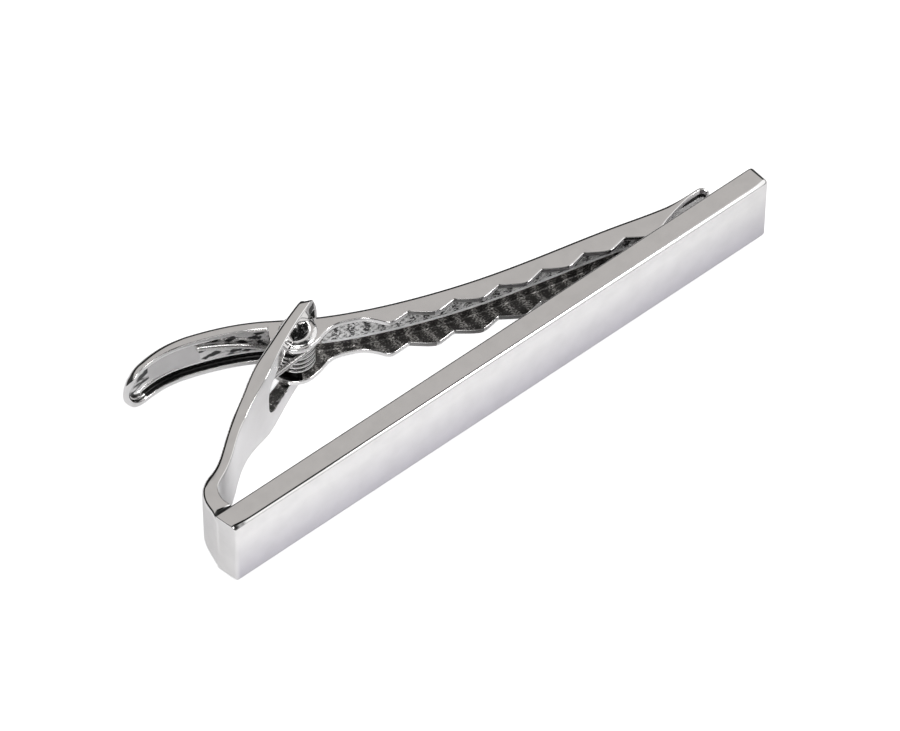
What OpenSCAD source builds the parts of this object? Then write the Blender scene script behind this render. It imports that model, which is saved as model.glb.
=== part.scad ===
// Tie clip: a slim bar, a hinge arm brazed to its back, and a sprung channel lever whose
// toothed jaw closes on the bar. Millimetres. The origin is the centre of the bar's front face,
// X runs along the bar to its free end, Y to its back, Z across its height.

/* [Bar] */
// Length of the bar
bar_len = 50; // [44:0.5:60]
// Height of the bar's front face
bar_h = 6; // [5:0.1:7]
// Thickness of the bar
bar_t = 1.9; // [1.5:0.05:2.6]
// Rounding of the bar's long front edges
bar_front_r = 0.32; // [0.1:0.02:0.6]
// Rounding of the bar's long back edges
bar_back_r = 0.14; // [0.05:0.01:0.3]
// Rounding of the bar's front corners, in plan
bar_front_corner_r = 0.14; // [0.05:0.01:0.3]
// Rounding of the bar's back corners, in plan
bar_back_corner_r = 0.28; // [0.1:0.02:0.5]
// How far the bar's left end slopes out to meet the arm's foot
end_swell = 0.35; // [0.1:0.05:0.6]

/* [Hinge] */
// Distance of the pivot from the bar's left end
pivot_in = 14.95; // [14:0.05:16]
// Distance of the pivot from the bar's back
pivot_back = 10.02; // [9.5:0.02:11]
// Diameter of the pin's barrel
pin_d = 1.9; // [1.6:0.02:2]
// Running clearance of the barrel in the ears, on the radius
pin_clear = 0.05; // [0.02:0.01:0.08]
// Diameter of the pin's end tenons
tenon_d = 0.7; // [0.4:0.05:0.8]
// Clearance of a tenon in its blind hole, on the radius
tenon_clear = 0.02; // [0.01:0.01:0.04]
// Length of a tenon inside its rail
tenon_in = 0.8; // [0.4:0.05:1]
// Diameter of the pin's flared heads, outside the ears
head_d = 3.4; // [2.6:0.05:3.5]
// Thickness of a head at its centre
head_t = 0.13; // [0.08:0.01:0.14]
// Thickness of a head at its edge
head_edge_t = 0.06; // [0.04:0.01:0.08]
// Gap between a head and its ear
head_gap = 0.03; // [0.02:0.01:0.05]
// Diameter of the mouth of the hollow in each end of the pin
mouth_d = 1.9; // [1.5:0.05:2]
// Depth of the mouth's flare
mouth_depth = 0.3; // [0.2:0.05:0.4]
// Diameter of the hollow
hollow_d = 1.2; // [1:0.05:1.4]
// Depth of the hollow
hollow_depth = 0.8; // [0.5:0.05:1]

/* [Hinge arm] */
// Length of the nose past the pivot
nose_len = 3.22; // [3.1:0.01:3.8]
// Length of the nose that keeps the paddle's height
nose_flat = 1.1; // [1:0.05:1.6]
// Width of the arm's foot where it meets the bar
foot_t = 1.55; // [1.3:0.01:1.9]
// Thickness of the arm's neck
neck_t = 0.85; // [0.7:0.01:1.1]
// Thickness of the paddle round the eye
paddle_t = 1.3; // [1.15:0.01:1.4]
// Thickness of the rails at the pivot
rail_t = 0.88; // [0.8:0.01:1]
// Thickness of the nose at its tip
nose_t = 0.4; // [0.3:0.01:0.7]
// Height of the neck
neck_h = 4.9; // [4.2:0.1:5.8]
// Height of the paddle
paddle_h = 7.3; // [6.8:0.1:8]
// Height of the eye round the ears
eye_h = 4.4; // [4.35:0.05:4.7]
// Height of the eye at its foot end
eye_foot_h = 3.7; // [3.2:0.05:4.2]
// Reach of the eye from the pivot towards the foot
eye_foot = 5.4; // [4.8:0.05:5.8]
// Reach of the eye from the pivot towards the nose
eye_nose = 2.6; // [2.5:0.02:2.8]
// Rounding of the eye's corners at the foot end
eye_foot_r = 1.4; // [0.8:0.1:1.6]
// Rounding of the eye's corners at the nose end
eye_nose_r = 0.6; // [0.3:0.05:0.8]

/* [Lever] */
// Distance of the jaw's tip from the bar's free end
tip_inset = 3.34; // [2:0.02:5]
// Distance of the tip's outer face from the bar's back
tip_back = 1.58; // [1.5:0.01:1.8]
// Thickness of the web at the tip
tip_t = 0.27; // [0.2:0.01:0.36]
// Radius of the lip that the tip ends in
lip_r = 0.75; // [0.6:0.05:0.9]
// Angle through which the lip curls
lip_turn = 84; // [60:1:88]
// Rounding of the tip's corners, seen from the back
tip_corner_r = 0.25; // [0.1:0.05:1.2]
// Height of the channel, outside
channel_h = 4; // [3.7:0.05:4.1]
// Thickness of the channel's web
web_t = 0.42; // [0.36:0.01:0.5]
// Thickness of the channel's flanges
flange_t = 0.42; // [0.36:0.01:0.5]
// Distance of the web's outer face from the pivot
web_off = 1.24; // [1.2:0.01:1.3]
// Slope of the web at the pivot, in degrees
web_slope = 32.7; // [31:0.1:34]
// Run of the tail from the pivot to its crown, along the bar
crown_run = 9.42; // [8.5:0.02:10.5]
// Rise of the tail's crown above the web at the pivot
crown_rise = 4.15; // [3.8:0.01:4.5]
// Radius of the tail past its crown
curl_r = 12; // [9:0.5:16]
// Angle through which the tail curls past its crown
curl_turn = 14.5; // [10:0.5:18]
// Radius of the tail's turned-in end
tail_end_r = 0.75; // [0.6:0.05:0.9]
// Angle of the tail's end to its crown
tail_end_turn = 66; // [50:1:88]
// Depth of the channel along the tail
tail_depth = 0.88; // [0.8:0.01:1]
// Depth of the tail before its turned-in end
tail_end_depth = 0.76; // [0.6:0.01:0.9]
// Depth of the channel at its waist, between the ears and the teeth
waist_depth = 0.9; // [0.75:0.01:1.1]
// Radius of the ears
ear_r = 1.85; // [1.7:0.05:2]
// Distance along the web from the pivot to the first notch
first_notch = 8.2; // [7.9:0.1:8.8]
// Length of the toothed run, from the first notch to the last
teeth_run = 17; // [15:0.1:18.5]
// Number of whole teeth between those notches
teeth = 5; // [3:1:7]
// Depth of the channel at the first notch
notch_depth_first = 1.22; // [1.1:0.01:1.3]
// Depth of the channel at the last notch
notch_depth_last = 1.47; // [1.3:0.01:1.5]
// Height of a tooth above its notches
tooth_h = 0.63; // [0.4:0.01:0.72]

/* [Spring] */
// Diameter of the spring's wire
wire_d = 0.42; // [0.36:0.01:0.44]
// Outer diameter of the coil
coil_d = 3.1; // [3.04:0.02:3.2]
// Clearance of the coil inside the channel and in the web's window
coil_clear = 0.12; // [0.08:0.01:0.16]
// Whole turns of the coil, besides the part turn between its legs
whole_turns = 2; // [1:1:2]
// Reach of the short leg past the eye's end
arm_leg_past = 0.75; // [0.4:0.05:1.1]
// Length of the leg that lies in the tail
tail_leg = 6; // [4:0.1:7]

/* [Hidden] */
$fn = 48;

// Overrun of every cut past the face that it opens
over = 0.5;
// Gap between the spring and what it bears on
leg_gap = 0.05;
// Steps of a corner, and of a curve between two of its knots
arc_steps = 4;
curve_steps = 5;
tooth_steps = 10;
end_steps = 6;

left = -bar_len / 2;
right = bar_len / 2;
pivot = [left + pivot_in, bar_t + pivot_back];
arm_slope = 25;
nose_slope = 21;
eye_top = eye_h / 2;
channel_top = channel_h / 2;
channel_in = channel_top - flange_t;
wire_r = wire_d / 2;

// Unit vector at an angle, and the directions to either side of a heading
function unit(a) = [cos(a), sin(a)];
function right_of(h) = [h.y, -h.x];
function left_of(h) = [-h.y, h.x];
function reversed(p) = [for (i = [len(p) - 1 : -1 : 0]) p[i]];

// Points of an arc about c, from angle a to angle b
function arc(c, r, a, b, steps) = [for (i = [0 : steps]) c + r * unit(a + (b - a) * i / steps)];

// Smooth curve through knots: the slope at each comes from the two chords beside it
function chord(k, i) = norm(k[i + 1] - k[i]);
function grade(k, i) = (k[i + 1] - k[i]) / chord(k, i);
function slope_at(k, i) =
    i == 0 ? grade(k, 0) :
    i == len(k) - 1 ? grade(k, i - 1) :
    (grade(k, i - 1) * chord(k, i) + grade(k, i) * chord(k, i - 1))
        / (chord(k, i - 1) + chord(k, i));
function between(k, i, u) =
    k[i] * (2 * pow(u, 3) - 3 * pow(u, 2) + 1)
    + slope_at(k, i) * chord(k, i) * (pow(u, 3) - 2 * pow(u, 2) + u)
    + k[i + 1] * (3 * pow(u, 2) - 2 * pow(u, 3))
    + slope_at(k, i + 1) * chord(k, i) * (pow(u, 3) - pow(u, 2));
function curve(k) = concat(
    [for (i = [0 : len(k) - 2]) for (j = [0 : curve_steps - 1]) between(k, i, j / curve_steps)],
    [k[len(k) - 1]]);

// Heading of a run of points at one of them, and the distance along the run to each
function heading(p, i) =
    let (a = p[max(i - 1, 0)], b = p[min(i + 1, len(p) - 1)]) (b - a) / norm(b - a);
function distances(p) =
    [for (i = 0, s = 0; i < len(p); i = i + 1, s = s + (i < len(p) ? chord(p, i - 1) : 0)) s];

// Rounded rectangle, with radii in the order low left, low right, high right, high left
function round_box(low, high, r) = concat(
    arc([low.x + r[0], low.y + r[0]], r[0], 180, 270, arc_steps),
    arc([high.x - r[1], low.y + r[1]], r[1], 270, 360, arc_steps),
    arc([high.x - r[2], high.y - r[2]], r[2], 0, 90, arc_steps),
    arc([low.x + r[3], high.y - r[3]], r[3], 90, 180, arc_steps));

// Solid of a plan outline between two heights
module plan_solid(outline, low, high) {
    translate([0, 0, low]) linear_extrude(high - low) polygon(outline);
}

// Solid of a side outline, drawn in X and Z, from one depth to another
module side_solid(outline, near, far) {
    translate([0, far, 0]) rotate([90, 0, 0]) linear_extrude(far - near) polygon(outline);
}

// Bar: one cross-section along its whole length, trimmed by the plan outline of its ends
bar_section = round_box([0, -bar_h / 2], [bar_t, bar_h / 2],
    [bar_front_r, bar_back_r, bar_back_r, bar_front_r]);
bar_plan = concat(
    arc([left + bar_front_corner_r, bar_front_corner_r], bar_front_corner_r, 180, 270, arc_steps),
    arc([right - bar_front_corner_r, bar_front_corner_r], bar_front_corner_r, 270, 360, arc_steps),
    arc([right - bar_back_corner_r, bar_t - bar_back_corner_r], bar_back_corner_r, 0, 90, arc_steps),
    arc([left - end_swell + bar_back_corner_r, bar_t - bar_back_corner_r], bar_back_corner_r,
        90, 180, arc_steps));

module front_bar() {
    color("gainsboro") intersection() {
        translate([left - end_swell - over, 0, 0]) rotate([90, 0, 90])
            linear_extrude(bar_len + end_swell + 2 * over) polygon(bar_section);
        plan_solid(bar_plan, -bar_h / 2 - over, bar_h / 2 + over);
    }
}

// Hinge arm: a bent strip. Its centre line rises from the bar's back, turns and runs to the
// pivot. The knots are shares of the way from the foot to the pivot, along the bar and away
// from it. The strip's thickness goes with them.
foot = [left - end_swell + foot_t / 2, bar_t];
arm_way = pivot - foot;
arm_shares = [[0, 0], [0, 0.07], [0.009, 0.14], [0.046, 0.225], [0.136, 0.299], [0.246, 0.405],
    [0.356, 0.531], [0.446, 0.619], [0.552, 0.699], [0.645, 0.764], [0.797, 0.868]];
foot_taper_shares = [1, 0.84, 0.8, 0.7];
nose_taper_share = 0.68;
arm_knots = concat(
    [for (s = arm_shares) foot + [s.x * arm_way.x, s.y * arm_way.y]],
    [pivot, pivot + nose_len / 2 * unit(nose_slope), pivot + nose_len * unit(nose_slope)]);
arm_thick = concat(
    foot_t * foot_taper_shares,
    [neck_t, neck_t, neck_t, (3 * neck_t + paddle_t) / 4, (neck_t + paddle_t) / 2],
    [paddle_t, (paddle_t + rail_t) / 2, rail_t],
    [nose_taper_share * rail_t, nose_t]);
arm_line = curve(arm_knots);
arm_widths = curve([for (i = [0 : len(arm_thick) - 1]) [i, arm_thick[i]]]);
function arm_edge(side) = concat(
    [foot - [side * foot_t / 2, 0]],
    [for (i = [1 : len(arm_line) - 1])
        arm_line[i] + side * arm_widths[i].y / 2 * left_of(heading(arm_line, i))]);

// Half height of the arm along the bar. The foot draws in to the neck, the neck swells to the
// paddle, and the paddle ends in a rounded nose. The first share in each row is of the way
// from the foot to the pivot, the second of the step in height. In the nose they are of the way
// from its flat to its tip, and of the paddle's half height.
foot_height_shares = [[0.012, 1], [0.04, 0.91], [0.129, 0.545], [0.246, 0.18], [0.36, 0.03],
    [0.42, 0]];
paddle_height_shares = [[0.46, 0.05], [0.528, 0.275], [0.611, 0.55], [0.676, 0.79],
    [0.756, 0.93], [0.84, 0.99]];
widest_share = 0.921;
nose_shares = [[0, 1], [0.14, 0.985], [0.28, 0.95], [0.4, 0.9], [0.524, 0.84], [0.64, 0.765],
    [0.738, 0.69], [0.83, 0.6], [0.905, 0.5], [0.96, 0.38], [0.99, 0.22], [1, 0]];
nose_from = pivot.x + nose_flat * cos(nose_slope);
nose_way = (nose_len - nose_flat) * cos(nose_slope);
arm_top = concat(
    [[foot.x - foot_t, bar_h / 2]],
    curve(concat(
        [for (s = foot_height_shares)
            [foot.x + s.x * arm_way.x, (neck_h + s.y * (bar_h - neck_h)) / 2]],
        [for (s = paddle_height_shares)
            [foot.x + s.x * arm_way.x, (neck_h + s.y * (paddle_h - neck_h)) / 2]],
        [[foot.x + widest_share * arm_way.x, paddle_h / 2]])),
    curve([for (s = nose_shares) [nose_from + s.x * nose_way, s.y * paddle_h / 2]]));
arm_side = concat(arm_top, [for (i = [len(arm_top) - 2 : -1 : 0]) [arm_top[i].x, -arm_top[i].y]]);

// Upper half of the eye, from its foot end: it widens to pass round the ears and their pin
eye_widen_share = 0.72;
eye_half = concat(
    arc([eye_foot_r - eye_foot, eye_foot_h / 2 - eye_foot_r], eye_foot_r, 180, 90, 2 * arc_steps),
    [[-eye_widen_share * eye_foot, eye_foot_h / 2], [-ear_r - eye_nose_r / 2, eye_top]],
    arc([eye_nose - eye_nose_r, eye_top - eye_nose_r], eye_nose_r, 90, 0, arc_steps));

module hinge_arm() {
    color("silver") difference() {
        intersection() {
            plan_solid(concat(arm_edge(1), reversed(arm_edge(-1))), -paddle_h, paddle_h);
            side_solid(arm_side, 0, bar_t + 2 * pivot_back);
        }
        translate(pivot) rotate(arm_slope)
            side_solid(concat(eye_half, [for (p = reversed(eye_half)) [p.x, -p.y]]),
                -2 * paddle_t, 2 * paddle_t);
        translate(pivot)
            cylinder(d = tenon_d + 2 * tenon_clear, h = eye_h + 2 * tenon_in, center = true);
    }
}

// Lever: the outer line of its web, from the curled end of the tail to the jaw's tip. The knots
// of the tail are shares of the way from the pivot to the crown, those of the jaw shares of
// the way from the pivot to the tip.
web_pivot = pivot + web_off * unit(90 - web_slope);
crown = web_pivot + [-crown_run, crown_rise];
tip = [right - tip_inset - lip_r, bar_t + tip_back];
tail_shares = [[0.863, 0.964], [0.682, 0.846], [0.511, 0.697], [0.348, 0.52], [0.196, 0.314]];
jaw_shares = [[0.119, 0.226], [0.269, 0.436], [0.431, 0.608], [0.574, 0.722], [0.777, 0.869],
    [0.928, 0.984], [0.963, 0.998], [1, 1]];
curl_knots = 2;
tail_end = crown - [0, curl_r] + (curl_r - tail_end_r) * unit(90 + curl_turn);
web_line = concat(
    [for (i = [0 : end_steps - 1])
        tail_end + tail_end_r * unit(90 + tail_end_turn - (tail_end_turn - curl_turn) * i / end_steps)],
    curve(concat(
        arc(crown - [0, curl_r], curl_r, 90 + curl_turn, 90, curl_knots),
        [for (s = tail_shares)
            web_pivot + [s.x * (crown - web_pivot).x, s.y * (crown - web_pivot).y]],
        [web_pivot],
        [for (s = jaw_shares)
            web_pivot + [s.x * (tip - web_pivot).x, s.y * (tip - web_pivot).y]])),
    [for (i = [1 : end_steps]) tip - [0, lip_r] + lip_r * unit(90 - lip_turn * i / end_steps)]);
web_index = end_steps + (curl_knots + 1 + len(tail_shares)) * curve_steps;
web_runs = distances(web_line);
tail_run = web_runs[web_index];
jaw_run = web_runs[len(web_runs) - 1] - tail_run;

// Place and heading of the web at a distance from the pivot, negative in the tail
web_x = [for (i = [0 : len(web_line) - 1]) [web_runs[i] - tail_run, web_line[i].x]];
web_y = [for (i = [0 : len(web_line) - 1]) [web_runs[i] - tail_run, web_line[i].y]];
function web_at(s) = [lookup(s, web_x), lookup(s, web_y)];
function web_heading(s) =
    let (d = web_at(s + web_t / 4) - web_at(s - web_t / 4)) d / norm(d);
function inside_web(s, depth) = web_at(s) + depth * right_of(web_heading(s));

// Rise of a tooth at a share of its pitch: straight flanks, the one towards the tip steeper, a
// rounded crest and sharp notches
crest_share = 0.55;
crest_round_share = 0.22;
function tooth_rise(u) =
    let (v = u < crest_share ? u / crest_share - 1 : (u - crest_share) / (1 - crest_share))
    (norm([1, crest_round_share]) - norm([v, crest_round_share]))
        / (norm([1, crest_round_share]) - crest_round_share);
pitch = teeth_run / teeth;
function notch_depth(s) = notch_depth_first
    + (notch_depth_last - notch_depth_first) * (s - first_notch) / teeth_run;
first_crest = first_notch - (1 - crest_share) * pitch;
last_crest = first_notch + teeth_run + crest_share * pitch;
first_crest_depth = notch_depth(first_crest) + tooth_h;
last_crest_depth = notch_depth(last_crest) + tooth_h;

// Edge of the flanges. In the waist a row is the share of the way from the pivot to the first
// crest and the share of the crest's rise above the waist. In the tip it is the share of the
// way from the last crest to the tip and the share of the crest's rise above the web. Between
// tail and waist the edge swings round the pivot, to a point ear_span short of the jaw's heading.
waist_shares = [[0.27, 1.22], [0.376, 0.44], [0.484, 0.1], [0.62, 0], [0.755, 0.07], [0.83, 0.3],
    [0.9, 0.6], [0.96, 0.88]];
tip_shares = [[0.08, 0.93], [0.17, 0.76], [0.26, 0.56], [0.34, 0.42], [0.42, 0.29], [0.52, 0.15],
    [0.61, 0.05], [0.7, 0], [0.82, 0], [0.865, 0], [0.91, 0], [0.955, 0]];
tail_end_share = 0.3;
tail_steps = 24;
ear_span = 53;
ear_steps = 12;
function tail_edge_depth(s) =
    let (u = min(1, (tail_run + s) / (tail_end_share * tail_run)))
    tail_end_depth + (tail_depth - tail_end_depth) * sin(90 * u);
tail_edge = [for (i = [0 : tail_steps])
    let (s = (tail_run - web_runs[end_steps + 1]) * (i / tail_steps - 1),
        p = inside_web(s, tail_edge_depth(s)))
    if (norm(p - pivot) > ear_r) p];
ear_way = tail_edge[len(tail_edge) - 1] - pivot;
flange_edge = concat(
    tail_edge,
    arc(pivot, ear_r, atan2(ear_way.y, ear_way.x), 360 - web_slope - ear_span, ear_steps),
    [for (w = waist_shares)
        inside_web(w.x * first_crest, waist_depth + w.y * (first_crest_depth - waist_depth))],
    [for (i = [ceil(crest_share * tooth_steps) : tooth_steps * (teeth + 1 + crest_share)])
        let (u = i / tooth_steps, s = first_notch + (u - 1) * pitch)
        inside_web(s, notch_depth(s) + tooth_h * tooth_rise(u - floor(u)))],
    [for (w = tip_shares)
        inside_web(last_crest + w.x * (jaw_run - last_crest),
            tip_t + w.y * (last_crest_depth - tip_t))],
    [inside_web(jaw_run, tip_t)]);

// Inner face of the web, closed past the flanges' edges. The web thins past the last crest.
thin_share = 0.6;
function web_thick(s) =
    lookup(s, [[last_crest, web_t], [last_crest + thin_share * (jaw_run - last_crest), tip_t]]);
web_inside = [for (i = [0 : len(web_line) - 1])
    web_line[i] + web_thick(web_runs[i] - tail_run) * right_of(heading(web_line, i))];
channel_space = concat(
    web_inside, [[web_inside[len(web_inside) - 1].x, 0], [web_inside[0].x, 0]]);

// Ends of the lever from the side: a half round behind the tail, rounded corners at the tip
tail_x = web_line[0].x;
tip_x = right - tip_inset;
function lever_side(top, corner_r) = concat(
    arc([tail_x + channel_top, 0], top, 270, 90, 4 * arc_steps),
    arc([tip_x - corner_r, top - corner_r], corner_r, 90, 0, arc_steps),
    arc([tip_x - corner_r, corner_r - top], corner_r, 0, -90, arc_steps));

module jaw_lever() {
    color("lightgray") difference() {
        intersection() {
            plan_solid(concat(web_line, reversed(flange_edge)), -channel_top, channel_top);
            side_solid(lever_side(channel_top, tip_corner_r), 0, crown.y + over);
        }
        intersection() {
            plan_solid(channel_space, -channel_in, channel_in);
            side_solid(lever_side(channel_in, tip_corner_r), 0, crown.y + over);
        }
        translate(pivot) {
            cylinder(d = pin_d + 2 * pin_clear, h = channel_h + 2 * over, center = true);
            cylinder(d = coil_d + 2 * coil_clear, h = 2 * channel_in - coil_clear, center = true);
        }
    }
}

// Pin: a barrel through both ears and the coil. Each end is hollow and flares into a head over
// its ear, and a tenon stands out of the hollow into the arm's rail.
head_low = channel_top + head_gap;
pin_half = [
    [0, 0], [pin_d / 2, 0], [pin_d / 2, head_low], [head_d / 2, head_low],
    [head_d / 2, head_low + head_edge_t], [(mouth_d + head_d) / 4, head_low + head_t],
    [mouth_d / 2, head_low + head_t], [hollow_d / 2, head_low + head_t - mouth_depth],
    [hollow_d / 2, head_low + head_t - hollow_depth], [tenon_d / 2, head_low + head_t - hollow_depth],
    [tenon_d / 2, eye_top + tenon_in], [0, eye_top + tenon_in]];

module hinge_pin() {
    color("silver") translate(pivot) for (side = [0, 1]) mirror([0, 0, side])
        rotate_extrude() polygon(pin_half);
}

// Spring: one wire. The short leg crosses the eye and rests on the outer rim of its foot end.
// The coil winds down round the pin, and the long leg follows the inside of the tail's web.
coil_r = (coil_d - wire_d) / 2;
coil_top = channel_in - coil_clear - wire_r;
rim = pivot - eye_foot * unit(arm_slope) + paddle_t / 2 * left_of(unit(arm_slope));
rim_way = rim - pivot;
rim_clear = coil_r + wire_r + leg_gap;
short_heading = 360 + atan2(rim_way.y, rim_way.x) - asin(rim_clear / norm(rim_way));
short_len = sqrt(pow(norm(rim_way), 2) - pow(rim_clear, 2)) + arm_leg_past;
coil_start = short_heading + 90;
long_off = web_off - web_t - wire_r - leg_gap;
coil_end = 90 - web_slope + acos(long_off / coil_r) + 360;
coil_turn = 360 * whole_turns + coil_end - coil_start;
long_start = sqrt(pow(coil_r, 2) - pow(long_off, 2));
level_share = 0.2;
short_drop_share = 1.05;
long_rise_share = 0.35;
coil_rings = 8;
leg_rings = 5;
fine = 4;
ring_sides = 6;

// Path of the wire's centre, with so many rings to a turn and to a leg. The rings stand out
// by half as much as the chords between them cut in.
function spring_path(rings, legs) =
    let (steps = ceil(coil_turn * rings / 360), ring_r = coil_r / cos(90 / rings),
        root = pivot + coil_r * unit(coil_start))
    concat(
        [for (i = [0 : legs - 1])
            let (u = level_share + (1 - level_share) * (1 - i / legs),
                p = root + u * short_len * unit(short_heading))
            [p.x, p.y, coil_top * (1 - 2 * short_drop_share * (u - level_share))]],
        [for (i = [0 : steps])
            let (p = pivot + ring_r * unit(coil_start + coil_turn * i / steps))
            [p.x, p.y, coil_top * (1 - 2 * i / steps)]],
        [for (i = [1 : legs])
            let (p = inside_web(-long_start - tail_leg * i / legs, web_t + wire_r + leg_gap))
            [p.x, p.y, coil_top * (long_rise_share + 1) * i / legs - coil_top]]);

// One closed tube along a path, with a ring across the path at each point
function ring_at(p, i) =
    let (t = heading(p, i), a = cross(t, [0, 0, 1]) / norm(cross(t, [0, 0, 1])), b = cross(a, t))
    [for (j = [0 : ring_sides - 1])
        p[i] + wire_r * (cos(360 * j / ring_sides) * a + sin(360 * j / ring_sides) * b)];
module tube(p) {
    last = len(p) - 1;
    polyhedron(
        [for (i = [0 : last]) each ring_at(p, i)],
        concat(
            [for (i = [0 : last - 1]) for (j = [0 : ring_sides - 1]) each
                let (k = (j + 1) % ring_sides, a = i * ring_sides, b = a + ring_sides)
                [[a + j, a + k, b + j], [a + k, b + k, b + j]]],
            [for (j = [1 : ring_sides - 2]) [0, j + 1, j]],
            [for (j = [1 : ring_sides - 2])
                let (a = last * ring_sides) [a, a + j, a + j + 1]]));
}

// Least gap of the wire to itself, between points that lie over a coil's width apart along it
function least_gap(p) =
    let (s = distances(p))
    min([for (i = [0 : len(p) - 2]) for (j = [i + 1 : len(p) - 1])
        if (s[j] - s[i] > coil_d) norm(p[j] - p[i]) - wire_d]);

module torsion_spring() {
    echo(str("least gap of the spring to itself, mm: ",
        least_gap(spring_path(fine * coil_rings, fine * leg_rings))));
    color("gray") tube(spring_path(coil_rings, leg_rings));
}

front_bar();
hinge_arm();
jaw_lever();
hinge_pin();
torsion_spring();
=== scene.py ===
import bpy
import bmesh
import numpy as np
from math import acos, asin, atan2, cos, degrees, pi, radians, sin, sqrt
from mathutils import Matrix, Vector


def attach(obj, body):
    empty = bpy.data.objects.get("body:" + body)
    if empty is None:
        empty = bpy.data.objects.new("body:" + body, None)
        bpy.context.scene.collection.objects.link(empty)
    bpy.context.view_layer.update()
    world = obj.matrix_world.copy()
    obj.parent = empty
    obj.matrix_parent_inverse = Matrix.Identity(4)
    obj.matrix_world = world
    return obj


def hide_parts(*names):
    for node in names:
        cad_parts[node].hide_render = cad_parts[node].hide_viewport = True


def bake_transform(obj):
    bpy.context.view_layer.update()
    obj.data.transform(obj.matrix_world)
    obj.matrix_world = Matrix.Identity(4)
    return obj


# A tie clip: a bar, an arm brazed to its back, and a toothed lever that a spring turns on a rivet.
# x runs along the bar, y from its polished front towards the lever, z over its height.
# Shapes are made in millimetres, and Shape.build brings them to metres.

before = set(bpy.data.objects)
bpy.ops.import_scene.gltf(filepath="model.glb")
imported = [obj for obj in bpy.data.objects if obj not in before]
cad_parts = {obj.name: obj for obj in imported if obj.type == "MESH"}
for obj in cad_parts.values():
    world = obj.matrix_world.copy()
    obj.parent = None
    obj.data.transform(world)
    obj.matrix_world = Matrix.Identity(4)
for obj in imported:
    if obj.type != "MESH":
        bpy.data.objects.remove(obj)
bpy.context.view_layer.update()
MM = 0.001


# ---------------------------------------------------------------- plan geometry, in millimetres
def unit(a):
    """Unit vector at a degrees from x."""
    return np.array([cos(radians(a)), sin(radians(a))])


def right_of(h):
    """Headings turned a quarter turn to the right."""
    return np.stack([h[..., 1], -h[..., 0]], -1)


def arc(c, r, a, b, n):
    """n + 1 points round c, from a to b degrees."""
    return [np.asarray(c, float) + r * unit(a + (b - a) * i / n) for i in range(n + 1)]


def spline(knots, first=None, last=None):
    """Cubic curve with even curvature through the knots; the argument counts knots.
    first and last are its directions at the ends, which are free where they are left out."""
    k = np.array(knots, float)
    h = np.linalg.norm(np.diff(k, axis=0), axis=1)
    n = len(k)
    a, b = np.zeros((n, n)), np.zeros_like(k)
    for i in range(1, n - 1):
        a[i, i - 1 : i + 2] = h[i - 1], 2 * (h[i - 1] + h[i]), h[i]
        b[i] = 6 * ((k[i + 1] - k[i]) / h[i] - (k[i] - k[i - 1]) / h[i - 1])
    a[0, 0] = a[-1, -1] = 1
    if first is not None:
        a[0, :2] = 2 * h[0], h[0]
        b[0] = 6 * ((k[1] - k[0]) / h[0] - np.asarray(first))
    if last is not None:
        a[-1, -2:] = h[-1], 2 * h[-1]
        b[-1] = 6 * (np.asarray(last) - (k[-1] - k[-2]) / h[-1])
    m = np.linalg.solve(a, b)

    def at(t):
        t = np.atleast_1d(np.asarray(t, float))
        i = np.clip(t.astype(int), 0, n - 2)
        u = (t - i)[:, None]
        d = h[i][:, None]
        return (k[i] * (1 - u) + k[i + 1] * u
                + d * d / 6 * ((u ** 3 - u) * m[i + 1] + ((1 - u) ** 3 - (1 - u)) * m[i]))

    return at


def runs_of(p):
    """Length along the points up to each of them."""
    return np.concatenate([[0], np.cumsum(np.linalg.norm(np.diff(p, axis=0), axis=1))])


def headings(p):
    d = np.gradient(np.asarray(p, float), axis=0)
    return d / np.linalg.norm(d, axis=1)[:, None]


def at_run(runs, p, s):
    """Points at the runs s of the line p."""
    return np.stack([np.interp(s, runs, p[:, j]) for j in range(p.shape[1])], -1)


def corner(a, c, b, n=4):
    """Points that round the corner c from a to b."""
    a, c, b = (np.asarray(q, float) for q in (a, c, b))
    return [(1 - t) ** 2 * a + 2 * t * (1 - t) * c + t * t * b for t in np.linspace(0, 1, n + 1)]


def fill(a, b, n):
    """Points from a to b, both left out."""
    a, b = np.asarray(a, float), np.asarray(b, float)
    return [a + (b - a) * i / n for i in range(1, n)]


# ---------------------------------------------------------------- mesh building
def new_object(name, points, faces, materials=(), kinds=()):
    """A linked object with its faces turned outwards; kinds are the faces' material numbers."""
    mesh = bpy.data.meshes.new(name)
    mesh.from_pydata(points, [], faces)
    for m in materials:
        mesh.materials.append(m)
    for p, kind in zip(mesh.polygons, kinds):
        p.material_index = kind
    bm = bmesh.new()
    bm.from_mesh(mesh)
    bmesh.ops.recalc_face_normals(bm, faces=bm.faces)
    bm.to_mesh(mesh)
    bm.free()
    ob = bpy.data.objects.new(name, mesh)
    bpy.context.scene.collection.objects.link(ob)
    return ob


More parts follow.
